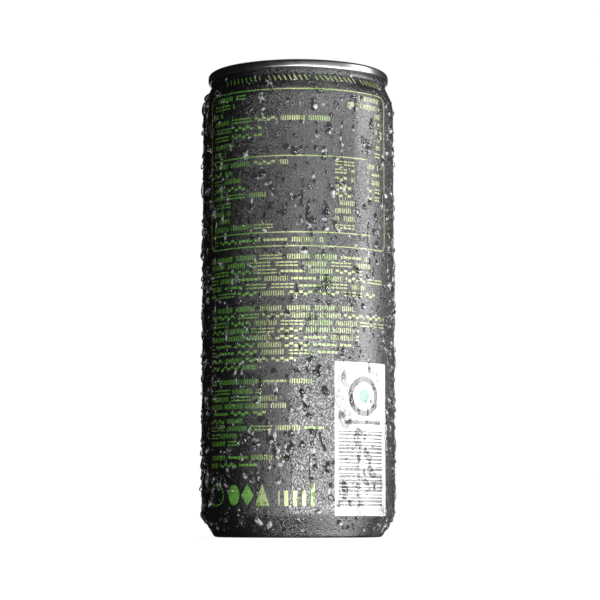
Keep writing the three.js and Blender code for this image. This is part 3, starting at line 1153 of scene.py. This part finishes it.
class DressTab(bpy.types.Operator):
    """Make the pull tab with its curled rim, finger hole and rivet island"""

    bl_idname = "drink_can.dress_tab"
    bl_label = "Pull tab"

    def execute(self, context):
        metal = brushed("tab_aluminium", (0.4, 0.405, 0.41), 0.2)
        outline = [self.teardrop(inset) for inset in TAB_INSETS]
        hole = [self.oval(inset) for inset in TAB_INSETS[:-1]]
        ring = [self.circle(radius) for radius in ISLAND_RINGS]
        points, faces = self.flat(outline + hole + ring + [self.slot()])
        top, bottom = self.heights(points)
        base = CAN_HEIGHT - PANEL_DEPTH
        count = len(points)
        upper = np.column_stack((points, base + top))
        lower = np.column_stack((points, base + bottom))
        solid = [tuple(face) for face in faces]
        solid += [tuple(i + count for i in reversed(face)) for face in faces]
        sides = dict.fromkeys(edge for a, b, c in faces for edge in ((a, b), (b, c), (c, a)))
        solid += [(b, a, a + count, b + count) for a, b in sides if (b, a) not in sides]
        points = np.concatenate((upper, lower))
        mesh_piece("tab_plate", points, solid, metal, "pull_tab")
        return {"FINISHED"}

    def teardrop(self, inset):
        (nose_y, nose), (heel_y, heel) = TAB_NOSE, TAB_HEEL
        lean = math.asin((nose - heel) / (heel_y - nose_y))
        front = np.linspace(math.pi - lean, 2 * math.pi + lean, 60)
        back = np.linspace(lean, math.pi - lean, 48)
        nose_turn = self.turned_points(front, nose - inset, nose - inset, nose_y)
        return nose_turn + self.turned_points(back, heel - inset, heel - inset, heel_y)

    def turned_points(self, turn, across, along, middle=0):
        """Points of an oval on the Y axis, at these angles."""
        return [(across * math.cos(a), middle + along * math.sin(a)) for a in turn]

    def oval(self, inset):
        turn = np.linspace(0, 2 * math.pi, 65)[:-1]
        across, along = TAB_HOLE_HALF
        return self.turned_points(turn, across + inset, along + inset, TAB_HOLE_Y)

    def circle(self, radius):
        return self.turned_points(np.linspace(0, 2 * math.pi, 41)[:-1], radius, radius)

    def slot(self):
        half = math.radians(TAB_SLOT_HALF_ANGLE)
        turn = np.linspace(math.pi / 2 - half, math.pi / 2 + half, 41)
        inner, outer = TAB_SLOT
        far = self.turned_points(turn, outer, outer)
        return far + self.turned_points(turn[::-1], inner, inner)

    def flat(self, loops):
        """Triangles between the loops, without those in the holes, the slot or outside."""
        points, edges = [], []
        for loop in loops:
            start = len(points)
            points += [Vector(p) for p in loop]
            edges += [(start + i, start + (i + 1) % len(loop)) for i in range(len(loop))]
        made, _, faces, *_ = delaunay_2d_cdt(points, edges, [], 0, 1e-4)
        flat = np.array([tuple(p) for p in made])
        middle = flat[np.array(faces)].mean(axis=1)
        keep = self.is_metal(*middle.T)
        kept = [tuple(face) for face, good in zip(faces, keep) if good]
        used = sorted({i for face in kept for i in face})
        order = {old: new for new, old in enumerate(used)}
        return flat[used], [tuple(order[i] for i in face) for face in kept]

    def is_metal(self, x, y):
        radius = np.hypot(x, y)
        turn = np.abs((np.degrees(np.arctan2(y, x)) - 90 + 180) % 360 - 180)
        in_slot = (radius > TAB_SLOT[0]) & (radius < TAB_SLOT[1]) & (turn < TAB_SLOT_HALF_ANGLE)
        out = outside_teardrop(x, y, TAB_NOSE, TAB_HEEL)
        in_eye = radius <= RIVET_RADIUS + RIVET_GAP
        return (out < 0) & (self.past_hole(x, y) > 0) & ~in_slot & ~in_eye

    def past_hole(self, x, y):
        """How far a point lies outside the finger hole."""
        share = oval_share(x, y, TAB_HOLE_Y, TAB_HOLE_HALF)
        distance = np.hypot(x, y - TAB_HOLE_Y)
        return distance * (1 - 1 / np.maximum(share, 1e-6))

    def heights(self, points):
        """The top and the underside over the tab's lowest level."""
        x, y = points.T
        edge = np.minimum(-outside_teardrop(x, y, TAB_NOSE, TAB_HEEL), self.past_hole(x, y))
        edge = np.maximum(edge, 0)
        half = TAB_THICKNESS / 2
        rounding = half * np.sqrt(np.clip(1 - (1 - np.minimum(edge, half) / half) ** 2, 0, 1))
        rounding = np.maximum(rounding, TAB_THINNEST)
        web = eased(edge, *TAB_WEB_EASE)
        island = eased(TAB_ISLAND - np.hypot(x, y), *TAB_ISLAND_EASE)
        web = np.maximum(web, island * eased(edge, *TAB_ISLAND_START))
        top = (half + rounding) * (1 - web) + TAB_WEB_TOP * web
        bottom = (half - rounding) * (1 - web) + (TAB_WEB_TOP - TAB_WEB) * web
        return top, bottom


class DressStage(bpy.types.Operator):
    """Set up the floor, the soft light and the camera"""

    bl_idname = "drink_can.dress_stage"
    bl_label = "Studio"

    def execute(self, context):
        self.floor()
        self.world(context.scene)
        for name, light in LIGHTS.items():
            self.softbox(name, *light)
        self.camera(context.scene)
        context.scene.view_settings.view_transform = "Standard"
        return {"FINISHED"}

    def floor(self):
        """A pale floor that glows, a little less next to the can, like a soft shadow."""
        shader = Shader(bpy.data.materials.new("pale_floor"))
        x, y, _, point = shader.place()
        away = (x * x + y * y).math("SQRT").step(*FLOOR_SHADE)
        paint = shader.mix(shader.noise(point, 0.01), (0.3, 0.3, 0.3), (0.33, 0.33, 0.33))
        glow = shader.mix(away, (0.85, 0.85, 0.85), (1, 1, 1))
        material = shader.finish(
            Base_Color=paint, Roughness=1.0, Emission_Color=glow, Emission_Strength=1.0
        )
        size = FLOOR_SIZE / 2
        mesh = bpy.data.meshes.new("floor")
        corners = [(x * size, y * size, 0) for x, y in ((-1, -1), (1, -1), (1, 1), (-1, 1))]
        mesh.from_pydata(corners, [], [(0, 1, 2, 3)])
        mesh.materials.append(material)
        floor = linked("floor", mesh)
        floor.visible_glossy = False
        floor.visible_diffuse = False
        floor.visible_shadow = False

    def world(self, scene):
        """White behind the can for the camera, and a faint light on the can itself."""
        scene.world = bpy.data.worlds.new("studio")
        shader = Shader(scene.world)
        rays = shader.node("ShaderNodeLightPath", output="Is Camera Ray")
        strength = shader.node("ShaderNodeMapRange", inputs={"Value": rays, "To Min": WORLD_GLOW})
        sky = shader.node("ShaderNodeBackground", inputs={"Color": (1, 1, 1), "Strength": strength})
        shader.node("ShaderNodeOutputWorld", inputs={"Surface": sky})

    def softbox(self, name, azimuth, elevation, distance, size, radiance):
        """An even area light that faces the can. Azimuth 0 is the camera's side, 90 the right."""
        turn, rise = math.radians(azimuth), math.radians(elevation)
        aim = Vector((0, 0, CAN_HEIGHT * MM / 2))
        back = Vector(
            (math.sin(turn) * math.cos(rise), -math.cos(turn) * math.cos(rise), math.sin(rise))
        )
        lamp = bpy.data.lights.new(name, "AREA")
        lamp.shape = "RECTANGLE"
        lamp.size, lamp.size_y = size
        lamp.energy = radiance * size[0] * size[1] * math.pi
        holder = linked(name, lamp)
        holder.location = aim + back * distance
        holder.rotation_mode = "QUATERNION"
        holder.rotation_quaternion = back.to_track_quat("Z", "Y")
        holder.visible_camera = False

    def camera(self, scene):
        studio = scene.can_studio
        camera = bpy.data.cameras.new("camera")
        camera.sensor_width = 36.0
        camera.lens = studio.lens
        camera.clip_end = 20.0
        holder = linked("camera", camera)
        holder.location = (studio.aside, -studio.distance, studio.height)
        holder.rotation_euler = (math.pi / 2 + studio.pitch, 0, 0)
        scene.camera = holder


class CanPanel(bpy.types.Panel):
    """Lists what makes the can"""

    bl_idname = "VIEW3D_PT_drink_can"
    bl_label = "Drink Can"
    bl_space_type = "VIEW_3D"
    bl_region_type = "UI"
    bl_category = "Drink Can"

    def draw(self, context):
        for group in ("can_coat", "can_water", "can_studio"):
            holder = getattr(context.scene, group)
            for name in holder.__annotations__:
                self.layout.prop(holder, name)
        for step in STEPS:
            self.layout.operator(step.bl_idname)


STEPS = (DressBody, DressWater, DressEnd, DressTab, DressStage)
GROUPS = {"can_coat": CoatFinish, "can_water": WaterAmount, "can_studio": StudioSet}


def register():
    for made in (*GROUPS.values(), *STEPS, CanPanel):
        bpy.utils.register_class(made)
    for name, group in GROUPS.items():
        setattr(bpy.types.Scene, name, PointerProperty(type=group))


def unregister():
    for name in GROUPS:
        delattr(bpy.types.Scene, name)
    for made in reversed((*GROUPS.values(), *STEPS, CanPanel)):
        bpy.utils.unregister_class(made)


def main():
    register()
    for step in STEPS:
        family, name = step.bl_idname.split(".")
        getattr(getattr(bpy.ops, family), name)()


if __name__ == "__main__":
    main()
